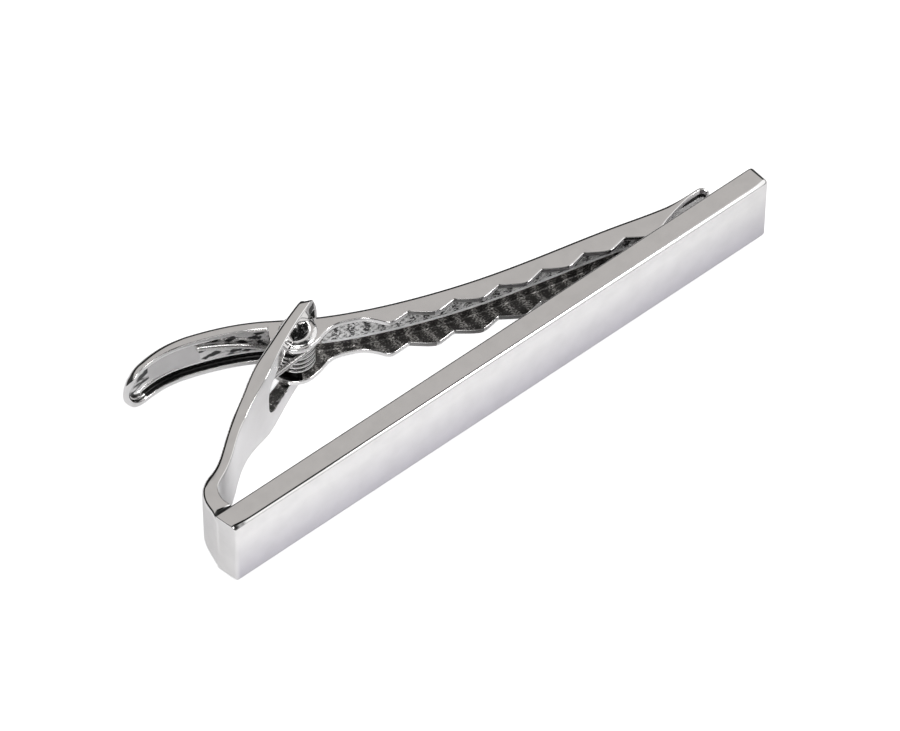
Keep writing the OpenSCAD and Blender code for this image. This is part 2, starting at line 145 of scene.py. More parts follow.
class Shape:
    """Faces over points that weld within 0.0001 mm; each face has a material number."""

    def __init__(self):
        self.points, self.faces, self.kinds, self.index = [], [], [], {}

    def vertex(self, p):
        key = tuple(round(float(c), 4) + 0.0 for c in p)
        if key not in self.index:
            self.index[key] = len(self.points)
            self.points.append(key)
        return self.index[key]

    def face(self, points, kind=0):
        ids = []
        for p in points:
            v = self.vertex(p)
            if v not in ids:
                ids.append(v)
        if len(ids) > 2:
            self.faces.append(ids)
            self.kinds.append(kind)

    def grid(self, rows, closed=False, kinds=None):
        """Quads between rows of points; closed joins the end of each row to its start."""
        for i, (a, b) in enumerate(zip(rows[:-1], rows[1:])):
            n = len(a)
            for j in range(n if closed else n - 1):
                k = (j + 1) % n
                self.face([a[j], a[k], b[k], b[j]], kinds[i][j] if kinds else 0)

    def build(self, name, materials, cutters=()):
        """The finished piece in metres, with the cutters' shapes taken out of it."""
        ob = new_object(name, self.points, self.faces, materials, self.kinds)
        for cutter in cutters:
            cut = ob.modifiers.new("cut", "BOOLEAN")
            cut.operation, cut.solver, cut.object = "DIFFERENCE", "EXACT", cutter
        if cutters:
            bpy.context.view_layer.update()
            graph = bpy.context.evaluated_depsgraph_get()
            whole, cut_mesh = ob.data, bpy.data.meshes.new_from_object(ob.evaluated_get(graph))
            ob.modifiers.clear()
            ob.data = cut_mesh
            bpy.data.meshes.remove(whole)
            cut_mesh.name = name
        ob.data.transform(Matrix.Scale(MM, 4))
        for p in ob.data.polygons:
            p.use_smooth = True
        weighted = ob.modifiers.new("weighted normals", "WEIGHTED_NORMAL")
        weighted.mode, weighted.weight = "FACE_AREA", 50
        return ob


def cylinder(name, centre, r, z0, z1, n=96):
    s = Shape()
    low, high = [[(centre[0] + r * cos(2 * pi * i / n), centre[1] + r * sin(2 * pi * i / n), z)
                  for i in range(n)] for z in (z0, z1)]
    s.grid([low, high], closed=True)
    s.face(low)
    s.face(high)
    return new_object(name, s.points, s.faces)


# ---------------------------------------------------------------- materials
class Nodes:
    """Adds shader nodes to a tree. An input takes a value or another node's output."""

    def __init__(self, tree):
        self.nodes, self.links = tree.nodes, tree.links

    def put(self, socket, value):
        if isinstance(value, bpy.types.NodeSocket):
            self.links.new(value, socket)
        else:
            socket.default_value = value

    def add(self, kind, inputs=(), **settings):
        node = self.nodes.new("ShaderNode" + kind)
        for key, value in settings.items():
            setattr(node, key, value)
        for key, value in dict(inputs).items():
            self.put(node.inputs[key], value)
        return node

    def math(self, operation, *values):
        return self.add("Math", enumerate(values), operation=operation).outputs[0]

    def ramp(self, value, low, high, to_low=0, to_high=1, kind="LINEAR"):
        """Goes from to_low to to_high while value goes from low to high."""
        ends = {"From Min": low, "From Max": high, "To Min": to_low, "To Max": to_high}
        node = self.add("MapRange", {"Value": value, **ends}, interpolation_type=kind)
        return node.outputs["Result"]

    def mix(self, share, below, above, blend="MIX"):
        """The colour below, covered by a share of the one above."""
        node = self.add("Mix", data_type="RGBA", blend_type=blend)
        for key, value in ((0, share), (6, below), (7, above)):
            self.put(node.inputs[key], (*value, 1) if isinstance(value, tuple) else value)
        return node.outputs[2]

    def noise(self, where, scale, detail, stretch=(1, 1, 1)):
        place = self.add("Mapping", {"Vector": where, "Scale": stretch})
        node = self.add("TexNoise", {"Vector": place.outputs["Vector"], "Scale": scale,
                                     "Detail": detail})
        return node.outputs["Fac"]

    def axes(self, where):
        return list(self.add("SeparateXYZ", {0: where}).outputs)


SMUDGE, TINT, DENT, PIT = 260, 700, 330, 2600  # noise scales, per metre
KNURL_X, KNURL_Z = 0.00052, 0.00062            # pitches of the knurl, in metres
BAR_END = (-0.0251, -0.0247)                   # the bar's painted shade ends between these x, in metres


def metal(name, colour, rough=(0.04, 0.12), grain=(40, 900, 900), grain_bump=0.004, dents=0.0,
          knurl=0.0, pits=0.0, shade=(), specks=None, metallic=1.0, stretch=0.6):
    """Metal with smudges and grain. dents, knurl and pits are heights in millimetres.
    shade: for each band of painted shade, the z where it is full, the z where it ends, and its
    tint.
    specks: noise scale, the noise where they start and are full, colour, pitch of rows or 0;
    stretch is the noise's scale along x."""
    m = bpy.data.materials.new(name)
    m.use_nodes = True
    t = Nodes(m.node_tree)
    bsdf = m.node_tree.nodes["Principled BSDF"]
    bsdf.inputs["Metallic"].default_value = metallic
    where = t.add("TexCoord").outputs["Object"]
    lines = t.noise(where, 1, 4, grain)
    rough_value = t.math("ADD", t.ramp(t.noise(where, SMUDGE, 3), 0.35, 0.7, *rough),
                         t.ramp(lines, 0.3, 0.7, -0.012, 0.012))
    t.put(bsdf.inputs["Roughness"], rough_value)
    tone = t.mix(t.ramp(t.noise(where, TINT, 2), 0.4, 0.7), colour,
                 tuple(c * 0.95 for c in colour))
    if specks:
        scale, low, high, other, pitch = specks
        patch = t.noise(where, scale, 3, (stretch, 1, 1))
        if pitch:
            wave = t.math("SINE", t.math("MULTIPLY", t.axes(where)[0], 2 * pi / pitch))
            patch = t.math("ADD", patch, t.math("MULTIPLY", wave, 0.09))
        tone = t.mix(t.ramp(patch, low, high), tone, other)
    # painted shade: the base colour is darkened below a height, and not on the bar's left end
    for low, high, dark in shade:
        x, _, z = t.axes(where)
        share = t.math("MULTIPLY", t.ramp(z, low, high, 1, 0), t.ramp(x, *BAR_END))
        tone = t.mix(share, tone, dark, "MULTIPLY")
    t.put(bsdf.inputs["Base Color"], tone)
    height = t.math("MULTIPLY", lines, grain_bump)
    if dents:
        height = t.math("ADD", height, t.math("MULTIPLY", t.noise(where, DENT, 1), dents))
    if pits:
        height = t.math("ADD", height, t.math("MULTIPLY", t.noise(where, PIT, 2), pits))
    if knurl:
        x, _, z = t.axes(where)
        waves = [t.math("SINE", t.math("MULTIPLY", socket, 2 * pi / pitch))
                 for socket, pitch in ((x, KNURL_X), (z, KNURL_Z))]
        dots = t.math("POWER", t.math("MAXIMUM", t.math("MULTIPLY", *waves), 0), 1.5)
        height = t.math("ADD", height, t.math("MULTIPLY", dots, knurl))
    bump = t.add("Bump", {"Strength": 1, "Distance": MM, "Height": height})
    t.put(bsdf.inputs["Normal"], bump.outputs["Normal"])
    return m


chrome, pale = (0.93, 0.92, 0.915), (0.99, 0.985, 0.98)
# painted shade on the bar's front: darker towards the lower edge, standing in for the floor's
# shadow in its reflection, and a thin dark line along the lower edge
bar_metal = metal("polished_bar", chrome, rough=(0.05, 0.12),
                  shade=((-0.003, 0.0014, (0.61, 0.6, 0.655)),
                         (-0.00289, -0.0028, (0.35, 0.35, 0.35))))
arm_metal = metal("polished_arm", chrome, rough=(0.05, 0.13), grain=(300, 300, 60), dents=0.02)
# a darker copy of the arm's chrome for its inner face: painted shade
arm_shaded_inside_metal = metal("arm_inside_painted_shade", (0.79, 0.78, 0.78), rough=(0.06, 0.14),
                        grain=(300, 300, 60), dents=0.02)
lever_metal = metal("polished_lever", chrome, rough=(0.05, 0.13))
# a darker copy of the lever's chrome for the channel's inside: painted shade
lever_shaded_inside_metal = metal("lever_inside_painted_shade", (0.68, 0.67, 0.67), rough=(0.1, 0.2), grain=(60, 900, 900),
                    grain_bump=0.03, dents=0.05)
streak_metal = metal("lever_streaks", (0.85, 0.84, 0.84), rough=(0.12, 0.24),
                     grain=(60, 900, 900), grain_bump=0.05, dents=0.1, metallic=0.8, stretch=0.2,
                     specks=(2300, 0.5, 0.56, (0.05, 0.05, 0.05), 0))
knurl_metal = metal("lever_knurl", pale, rough=(0.16, 0.3), dents=0.04, pits=0.04,
                    knurl=0.1, specks=(6500, 0.52, 0.6, (0.08, 0.08, 0.08), 0.00104),
                    metallic=0.3)
band_metal = metal("lever_band", (0.04, 0.038, 0.036), rough=(0.2, 0.35), dents=0.05, pits=0.03,
                   specks=(9500, 0.5, 0.8, (0.66, 0.64, 0.61), 0.0012), metallic=0.4)
# pale and not metallic: a painted highlight along the folds inside the lever
ridge_highlight_metal = metal("lever_ridge_painted_highlight", pale, rough=(0.2, 0.3), metallic=0.0)
shade_metal = metal("lever_shade", (0.04, 0.04, 0.04), rough=(0.14, 0.3), dents=0.02, knurl=0.06)
# dark grey for the teeth's rising flanks: painted shade
flank_shade_metal = metal("tooth_flank_painted_shade", (0.34, 0.335, 0.33), rough=(0.15, 0.25))
# dark base with light specks: painted shade inside the eye, with painted glints
eye_shade_metal = metal("eye_inside_painted_shade", (0.22, 0.215, 0.21), rough=(0.12, 0.3), dents=0.15, pits=0.05,
                  specks=(4200, 0.52, 0.62, (0.75, 0.74, 0.73), 0))
# near black: painted shade in crevices and hollows, and painted dark reflections
painted_dark_metal = metal("painted_dark_gap", (0.03, 0.03, 0.03), rough=(0.3, 0.45))
# near black with white specks: painted shade in the rivet's hole, with painted glints
hollow_shade_metal = metal("rivet_hollow_painted_shade", (0.05, 0.05, 0.05), rough=(0.1, 0.25), dents=0.2, pits=0.05,
                     specks=(4200, 0.6, 0.64, (0.95, 0.95, 0.95), 0), metallic=0.5)
pin_metal = metal("pin_steel", (0.88, 0.87, 0.865), rough=(0.08, 0.2), dents=0.05, pits=0.03)
wire_metal = metal("spring_steel", (0.82, 0.81, 0.8), rough=(0.18, 0.3), grain=(300, 300, 300))

# ---------------------------------------------------------------- sizes, as in part.scad
BAR_LEN, BAR_H, BAR_T, SWELL = 50, 6, 1.9, 0.35
LEFT, RIGHT = -BAR_LEN / 2, BAR_LEN / 2
PIVOT = np.array([LEFT + 14.95, BAR_T + 10.02])
EAR_R = 1.85


# ---------------------------------------------------------------- bar
def bar():
    """Sections along x; each end shrinks over a small radius and has a worn upper front edge."""
    front_r = 0.3
    wear = ((0.5, 0.75), (0.8, 0.4), (1.1, 0.15), (1.5, 0.04), (2.0, 0))  # run, share of wear

    def section(inset, upper_front_r):
        r = [max(q - inset, 0.02) for q in (0.16, 0.16, 0.2, upper_front_r)]
        low, high = (inset, -BAR_H / 2 + inset), (BAR_T - inset, BAR_H / 2 - inset)
        return (arc((low[0] + r[0], low[1] + r[0]), r[0], 180, 270, 8)
                + arc((high[0] - r[1], low[1] + r[1]), r[1], 270, 360, 8)
                + arc((high[0] - r[2], high[1] - r[2]), r[2], 0, 90, 8)
                + arc((low[0] + r[3], high[1] - r[3]), r[3], 90, 180, 8))

    rows = []
    for side, x0, end_r, worn_r in ((-1, LEFT, 0.13, 0.47), (1, RIGHT, 0.42, 0.4)):
        steps = [(x0 - side * end_r * (1 - sin(a)), end_r * (1 - cos(a)))
                 for a in np.radians(np.linspace(90, 0, 6))]
        lean = SWELL / BAR_T if side < 0 else 0
        loops = [[(x - lean * y, y, z) for y, z in section(inset, worn_r)] for x, inset in steps]
        loops += [[(x0 - side * run, y, z)
                   for y, z in section(0, front_r + (worn_r - front_r) * share)]
                  for run, share in wear]
        rows += loops if side < 0 else loops[::-1]
    s = Shape()
    s.grid(rows, closed=True)
    s.face(rows[0])
    s.face(rows[-1])
    return s.build("bar_plate", [bar_metal])


# ---------------------------------------------------------------- hinge arm
STRIP, PAINTED_DARK, EYE, INNER = range(4)  # the arm's materials


def arm():
    """A bent strip: foot and neck as a closed section, then a ring of columns round the eye."""
    foot_t, neck, paddle, rail = 1.55, 0.85, 1.3, 0.88  # thicknesses
    nose, slope = 3.22, 21  # length past the pivot, and its slope in degrees
    neck_h, paddle_h = 4.9, 7.3  # heights
    foot = np.array([LEFT - SWELL + foot_t / 2, BAR_T])
    way = PIVOT - foot
    # knots of the middle line, as shares of the way from the foot to the pivot
    shares = [[0, 0], [0, 0.07], [0.009, 0.14], [0.046, 0.225], [0.136, 0.299], [0.246, 0.405],
              [0.356, 0.531], [0.446, 0.619], [0.552, 0.699], [0.645, 0.764], [0.797, 0.868]]
    join_knot, pivot_knot = 7, len(shares)
    knots = [foot + np.array(s) * way for s in shares] + [
        PIVOT, PIVOT + nose / 2 * unit(slope), PIVOT + nose * unit(slope)]
    thick = [foot_t, foot_t * 0.84, foot_t * 0.8, foot_t * 0.7, neck, neck, neck,
             (3 * neck + paddle) / 4, (neck + paddle) / 2, paddle, (paddle + rail) / 2, rail,
             0.9 * rail, 0.45]
    line, widths = spline(knots, first=(0, 1)), spline([[i, w] for i, w in enumerate(thick)])
    t = np.linspace(0, len(knots) - 1, 1301)
    mid = line(t)
    left = -right_of(headings(mid))
    wide = widths(t)[:, 1] / 2
    runs = runs_of(mid)
    runs = runs - np.interp(pivot_knot, t, runs)

    # half heights over x: share of the way, share of the step from the neck's height
    foot_rows = [[0.012, 1], [0.04, 0.91], [0.129, 0.545], [0.246, 0.18], [0.36, 0.03], [0.42, 0]]
    paddle_rows = [[0.46, 0.05], [0.528, 0.275], [0.611, 0.55], [0.676, 0.79], [0.756, 0.93],
                   [0.84, 0.99]]
    rows = [[foot[0] - foot_t, BAR_H / 2]]
    rows += [[foot[0] + a * way[0], (neck_h + b * (BAR_H - neck_h)) / 2] for a, b in foot_rows]
    rows += [[foot[0] + a * way[0], (neck_h + b * (paddle_h - neck_h)) / 2]
             for a, b in paddle_rows]
    rows.append([foot[0] + 0.921 * way[0], paddle_h / 2])
    top = spline(rows[1:], last=(1, 0))(np.linspace(0, len(rows) - 2, 400))
    top = np.vstack([[rows[0]], top])

    def place(s, z, side, off=0.0):
        """Point of the arm's outer (1) or inner (-1) face at a run along it, sunk by off."""
        m = at_run(runs, mid, s)
        n = at_run(runs, left, s)
        w = np.interp(s, runs, wide)
        p = m + side * (w - off) * n
        return (p[0], p[1], z)

    def half_height(s, side):
        return float(np.interp(place(s, 0, side)[0], top[:, 0], top[:, 1]))

    def rounding(run, side):
        """Radius of the strip's long edges, tight on the inner face."""
        w = 2 * float(np.interp(run, runs, wide))
        return min(0.38, 0.36 * w) if side == 1 else min(0.09, 0.25 * w)

    s = Shape()
    s_join = float(np.interp(join_knot, t, runs))

    # foot and neck; the inner face starts out more slowly, and two rows lie buried in the bar,
    # so that the end cap's normals stay off the strip that shows
    across = 6
    buried, slow, slow_run = (0.33, 0.3), 0.3, 2.4
    groove_depth, groove_run = 0.26, 0.36  # the groove between the foot and the bar, whose upper edge is painted dark as its shadow
    cut_depth, cut_run = 0.55, 3.8         # the foot's lower corner
    lean = SWELL / BAR_T
    neck_rows = []
    for run in np.concatenate([[runs[0] - b for b in buried], np.linspace(runs[0], s_join, 90)]):
        down = max(0.0, runs[0] - run)
        ahead = max(run, runs[0]) - runs[0]
        pace = slow + (1 - slow) * min(1, ahead / slow_run)
        run_of = {1: runs[0] + ahead, -1: runs[0] + ahead * pace}
        g = min(1.0, ahead / groove_run)
        groove = groove_depth * (1 - sqrt(1 - (1 - g) ** 2))
        tops = {side: half_height(r, side) - groove for side, r in run_of.items()}
        cut = cut_depth * sin(pi * min(1, ahead / cut_run))

        def on_face(z, side, off=0.0):
            p = place(run_of[side], z, side, off)
            step = 0.03 if down > 0.31 else -0.004
            return (p[0] + (lean * down + step if down and side == 1 else 0), p[1] - down, p[2])

        def half_face(side, sign):
            """Points of one face from the middle to its edge, above (1) or below (-1)."""
            h, r = tops[side] - (cut if sign < 0 else 0), rounding(run_of[side], side)
            pts = [on_face(sign * z, side) for z in np.linspace(0, h - r, across + 1)]
            return pts + corner(on_face(sign * (h - r), side), on_face(sign * h, side),
                                on_face(sign * h, side, r))[1:]

        neck_rows.append(half_face(1, 1) + half_face(-1, 1)[::-1]
                         + half_face(-1, -1)[1:] + half_face(1, -1)[::-1][:-1])
    lid = range(across + 2, across + 9)                # upper edge, painted black where it meets the bar: a painted shadow in the joint
    back = range(2 * across + 2, 4 * across + 4)       # inner face, in the darker copy of the metal: painted shade
    s.grid(neck_rows, closed=True,
           kinds=[[PAINTED_DARK if k < 4 and j in lid else INNER if j in back else STRIP
                   for j in range(len(neck_rows[0]))] for k in range(len(neck_rows))])
    s.face(neck_rows[0])

    # paddle and eye: columns from the eye's edge to the outer edge, round the ring;
    # the eye's half outline runs from its foot end to its nose, with 0 at the pivot
    eye_top, eye_foot, eye_nose, foot_r, nose_r, foot_h = 2.2, 5.4, 2.5, 1.4, 0.6, 1.85
    full_from, full_to = -EAR_R - nose_r / 2, eye_nose - nose_r
    foot_arc = arc((foot_r - eye_foot, foot_h - foot_r), foot_r, 180, 90, 8)
    nose_arc = arc((full_to, eye_top - nose_r), nose_r, 90, 0, 8)
    inner_half = np.array(
        [(-eye_foot, z) for z in np.linspace(0, foot_h - foot_r, 3)][:-1]
        + [tuple(p) for p in foot_arc] + [(-0.72 * eye_foot, foot_h), (full_from, eye_top)]
        + [tuple(p) for p in nose_arc] + [(eye_nose, 0)])
    in_runs = runs_of(inner_half)
    full_index = len(foot_arc) + 3
    u_foot = in_runs[2 + len(foot_arc) // 2]
    nose_from, side_columns, nose_columns = 0.9, 30, 26
    u_nose = float(np.interp(nose_from, [full_from, full_to],
                             in_runs[full_index : full_index + 2]))

    def outer_loop(side):
        """Boundary of one face from the joint's middle to the nose, as runs and heights."""
        flat = 1.5 if side == 1 else 1.88
        low_nose = [(2.64, 2.25), (2.76, 1.8), (2.81, 1.3), (2.82, 0.6), (2.82, 0)]
        knee = (flat + 0.36, paddle_h / 2 - 0.42)
        bend = corner((flat - 0.35, paddle_h / 2), (flat + 0.12, paddle_h / 2), knee, 12)
        end = [tuple(q) for q in bend + fill(knee, low_nose[0], 10)] + low_nose
        h = half_height(s_join, side)
        out = [(s_join, z) for z in np.linspace(0, h - rounding(s_join, side), across + 1)]
        out += [(run, half_height(run, side))
                for run in np.linspace(s_join, end[0][0], side_columns + 1)]
        return out + end[1:]

    loops = {side: outer_loop(side) for side in (1, -1)}
    us = np.concatenate([np.linspace(0, u_foot, across + 1),
                         np.linspace(u_foot, u_nose, side_columns + 1),
                         np.linspace(u_nose, in_runs[-1], nose_columns + 1)[1:]])
    inner_points = [at_run(in_runs, inner_half, u) for u in us]
    radial, lip_r = 9, 0.08
    last = len(us) - 1

    def column(c, sign):
        """Points of both faces from the eye's lip to the outer rim, by side."""
        i, col = inner_points[c], {}
        for side in (1, -1):
            o = np.array(loops[side][c])
            r = rounding(o[0], side)
            if c <= across:
                edge = o
            elif c == across + 1:
                edge = o - (0, r)
            else:
                prev = np.array(loops[side][c - 1])
                nxt = prev * (1, -1) if c == last else np.array(loops[side][c + 1])
                d = (nxt - prev) / np.linalg.norm(nxt - prev)
                edge = o + r * np.array([d[1], -d[0]])

            def placed(p, off=0.0):
                return place(p[0], sign * p[1], side, off)

            start = i + lip_r * (edge - i) / np.linalg.norm(edge - i)
            path = [start + (edge - start) * k / radial for k in range(radial + 1)]
            lip = corner(placed(start), placed(i), placed(i, lip_r))
            rim = [] if c <= across else corner(placed(edge), placed(o), placed(o, r))[1:]
            col[side] = lip[::-1] + [placed(p) for p in path[1:]] + rim
        return col

    # painted dark places: a line over the nose, a painted reflection of its end edge, and a spot
    # inside it, a painted shadow, by run, offset and height
    line_low, line_high = 3.35, 3.63
    spot_from, spot_to, spot_off, spot_low, spot_high = 1.45, 2.2, -0.25, 2.4, 3.2

    def ring_kinds(c, col, loop):
        """Materials round one loop: outer face, rim, inner face, and the eye's wall last."""
        n = len(col[1])
        ahead, up = inner_points[c]
        kinds = [STRIP] * (n + 3) + [INNER] * (len(col[-1]) - 4)
        # the eye's wall towards the nose is painted dark, a painted shade
        kinds.append(PAINTED_DARK if ahead > 2 and up > 1 else EYE)
        if c > across + side_columns and line_low < abs(col[1][-1][2]) < line_high:
            kinds[n - 3 : n + 2] = [PAINTED_DARK] * 5
        for j in range(n, len(loop) - 1):
            spot = np.array(loop[j]) - (*PIVOT, 0)
            along, off = spot[:2] @ unit(slope), spot[:2] @ unit(slope + 90)
            if (spot_from < along < spot_to and off < spot_off
                    and spot_low < abs(spot[2]) < spot_high):
                kinds[j] = PAINTED_DARK
        return kinds

    for sign in (1, -1):
        columns = [column(c, sign) for c in range(len(us))]
        for c, (a, b) in enumerate(zip(columns[:-1], columns[1:])):
            if c > across:
                loop = a[1] + a[-1][::-1]
                s.grid([loop, b[1] + b[-1][::-1]], closed=True, kinds=[ring_kinds(c, a, loop)])
                continue
            s.grid([a[1], b[1][: len(a[1])]])
            s.grid([a[-1], b[-1][: len(a[-1])]], kinds=[[INNER] * len(a[-1])])
            s.face([a[1][0], b[1][0], b[-1][0], a[-1][0]], EYE)
    return s.build("hinge_arm_strip", [arm_metal, painted_dark_metal, eye_shade_metal, arm_shaded_inside_metal])


# ---------------------------------------------------------------- lever: lines and tables
WEB_T, LIP_R, TIP_T = 0.42, 0.75, 0.27  # sheet, bent tip, thinned tip
CH_TOP = 2.0                            # half the channel's width outside
CH_IN = CH_TOP - WEB_T
WEB_OFF, WEB_SLOPE = 1.24, 32.7
web_pivot = PIVOT + WEB_OFF * unit(90 - WEB_SLOPE)
crown = web_pivot + (-9.42, 4.15)
TIP_X = RIGHT - 3.34
tip = np.array([TIP_X - LIP_R, BAR_T + 1.58])
CURL_R, CURL, END_R, END = 12, 14.5, 0.75, 66
tail_end = crown - (0, CURL_R) + (CURL_R - END_R) * unit(90 + CURL)
END_STEPS = 24


def web():
    """The web's outer line in plan, from the tail to the tip, with runs that are 0 at the hinge."""
    tail = [[0.863, 0.964], [0.682, 0.846], [0.511, 0.697], [0.348, 0.52], [0.196, 0.314]]
    jaw = [[0.119, 0.226], [0.269, 0.436], [0.431, 0.608], [0.574, 0.722], [0.777, 0.869],
           [0.928, 0.984], [0.963, 0.998], [1, 1]]
    knots = (arc(crown - (0, CURL_R), CURL_R, 90 + CURL, 90, 2)
             + [web_pivot + np.array(s) * (crown - web_pivot) for s in tail] + [web_pivot]
             + [web_pivot + np.array(s) * (tip - web_pivot) for s in jaw])
    run = spline(knots, first=unit(CURL), last=(1, 0))(np.linspace(0, len(knots) - 1, 1501))
    line = np.vstack([arc(tail_end, END_R, 90 + END, 90 + CURL, END_STEPS)[:-1], run,
                      arc(tip - (0, LIP_R), LIP_R, 90, 6, END_STEPS)[1:]])
    r = runs_of(line)
    nearest = int(np.argmin(np.linalg.norm(line - web_pivot, axis=1)))
    return line, r - r[nearest]


web_line, web_runs = web()
web_right = right_of(headings(web_line))
TAIL_RUN, JAW_RUN = -web_runs[0], web_runs[-1]


def web_at(s):
    return at_run(web_runs, web_line, s)


def inside_web(s, depth):
    """Point at a depth inside the web's outer line."""
    n = at_run(web_runs, web_right, s)
    return web_at(s) + depth * n / np.linalg.norm(n)


TEETH_RUN, FIRST, TOOTH, CREST, ROUND = 17, 8.2, 0.63, 0.55, 0.22
PITCH, PITCH_STEPS = TEETH_RUN / 5, 24
FIRST_CREST = FIRST - (1 - CREST) * PITCH
LAST_CREST = FIRST + TEETH_RUN + CREST * PITCH


def notch_depth(s):
    """Depth of the notches between the teeth, which grows towards the tip."""
    return 1.22 + 0.25 * (s - FIRST) / TEETH_RUN


def tooth_rise(u):
    """Share of a tooth's height at the share u of its pitch, round at the crest."""
    v = u / CREST - 1 if u < CREST else (u - CREST) / (1 - CREST)
    top = sqrt(1 + ROUND ** 2)
    return (top - sqrt(v * v + ROUND ** 2)) / (top - ROUND)


def tail_depth(s):
    """Depth of the tail's flanges, a little less at its end."""
    return 0.76 + 0.12 * sin(min(1, (TAIL_RUN + s) / (0.3 * TAIL_RUN)) * pi / 2)


def web_thick(s):
    return float(np.interp(s, [LAST_CREST, LAST_CREST + 0.6 * (JAW_RUN - LAST_CREST)],
                           [WEB_T, TIP_T]))


def flange_edge(s_start):
    """Edge of the flanges as pairs: run of the web, point in plan."""
    out = []
    for s in np.linspace(s_start, 0, 140):
        p = inside_web(s, tail_depth(s))
        if np.linalg.norm(p - PIVOT) > EAR_R:
            out.append((s, p))
    # round ear
    ear_end = 53  # degrees past the web's slope
    way = out[-1][1] - PIVOT
    a0 = degrees(atan2(way[1], way[0])) % 360
    a1 = 360 - WEB_SLOPE - ear_end
    s = out[-1][0]
    for a in np.linspace(a0, a1, 40)[1:]:
        s = max(s + 0.02, EAR_R * cos(radians(a + WEB_SLOPE)))
        out.append((s, PIVOT + EAR_R * unit(a)))
    # waist, between the ear and the first crest: share of the run, share of the crest's depth
    least = 0.9
    waist = [[0.27, 1.22], [0.376, 0.44], [0.484, 0.1], [0.62, 0], [0.755, 0.07], [0.83, 0.3],
             [0.9, 0.6], [0.96, 0.88]]
    crest = notch_depth(FIRST_CREST) + TOOTH
    rows = [out[-1][1]]
    rows += [inside_web(w * FIRST_CREST, least + d * (crest - least)) for w, d in waist]
    rows.append(inside_web(FIRST_CREST, crest))
    ss = [out[-1][0]] + [w * FIRST_CREST for w, d in waist] + [FIRST_CREST]
    at = np.linspace(0, len(rows) - 1, 64)
    out += [(float(s), p) for s, p in zip(np.interp(at, range(len(rows)), ss),
                                          spline(rows)(at))][1:]
    # teeth
    for i in range(1, 6 * PITCH_STEPS + 1):
        u = CREST + i / PITCH_STEPS
        s = FIRST + (u - 1) * PITCH
        out.append((s, inside_web(s, notch_depth(s) + TOOTH * tooth_rise(u % 1))))
    # from the last crest down to the flat tip
    last = out[-1][0]
    crest = notch_depth(LAST_CREST) + TOOTH
    tips = [[0, 1], [0.08, 0.93], [0.17, 0.76], [0.26, 0.56], [0.34, 0.42], [0.42, 0.29],
            [0.52, 0.15], [0.61, 0.05], [0.7, 0], [0.82, 0], [1, 0]]
    for w in np.linspace(0, 1, 71)[1:]:
        d = np.interp(w, [q[0] for q in tips], [q[1] for q in tips])
        s = last + w * (JAW_RUN - last)
        out.append((s, inside_web(s, max(TIP_T, TIP_T + d * (crest - TIP_T)))))
    return out


# ---------------------------------------------------------------- lever: the pressed channel
FOLD_R, RIM_R, IN_R = 0.42, 0.07, 0.16  # radii of the fold outside, the rim, the fold inside
FAN = 47          # columns round the tail's end
TAIL_END = 200    # points of the web's line that hold the tail's end
POLISHED, INSIDE, KNURL, SHADE, BAND, RIDGE, STREAK, FLANK = range(8)  # the lever's materials


def half_section(outer, inner, low_outer, low_inner, top, soft, tail):
    """Half section from the web's middle outside, over the rim, to its middle inside.
    outer and inner give the web's faces at a distance from the middle, low_outer and low_inner
    the rim's corners, and soft widens the fold. Also gives where the inside and its web start."""
    fold = FOLD_R + 0.5 * soft
    flat = top - fold
    pts = [outer(flat * v) for v in (0, 0.2, 0.4, 0.6, 0.8, 1)]
    a, c, low, li = (np.array(q) for q in (outer(flat), outer(top), low_outer, low_inner))
    depth = np.linalg.norm(low - c)
    d = (low - c) / max(depth, 1e-6)
    drop = min(fold, (0.45 + 0.3 * soft) * depth)
    small = min(RIM_R, 0.3 * depth)
    pts += corner(a, c, c + d * drop, 6)[1:]
    pts += fill(c + d * drop, low - d * small, 3)
    inward = (li - low) / np.linalg.norm(li - low)
    pts += corner(low - d * small, low, low + inward * RIM_R, 3)
    ci = np.array(inner(top - WEB_T))
    length = np.linalg.norm(ci - li)
    up = (ci - li) / length if length > 1e-4 else -d
    small = min(RIM_R, 0.35 * length)
    pts += corner(li - inward * RIM_R, li, li + up * small, 3)
    rise = min(IN_R, 0.45 * length)
    flat_in = top - WEB_T - IN_R
    inside_from = len(pts)
    pts += fill(li + up * small, ci - up * rise, 3)
    pts += corner(ci - up * rise, ci, inner(flat_in), 4)
    web_from = len(pts)
    spread = (0.9, 0.8, 0.7, 0.4, 0) if tail else (0.82, 0.55, 0.37, 0.2, 0)
    pts += [inner(flat_in * v) for v in spread]
    return pts, inside_from, web_from


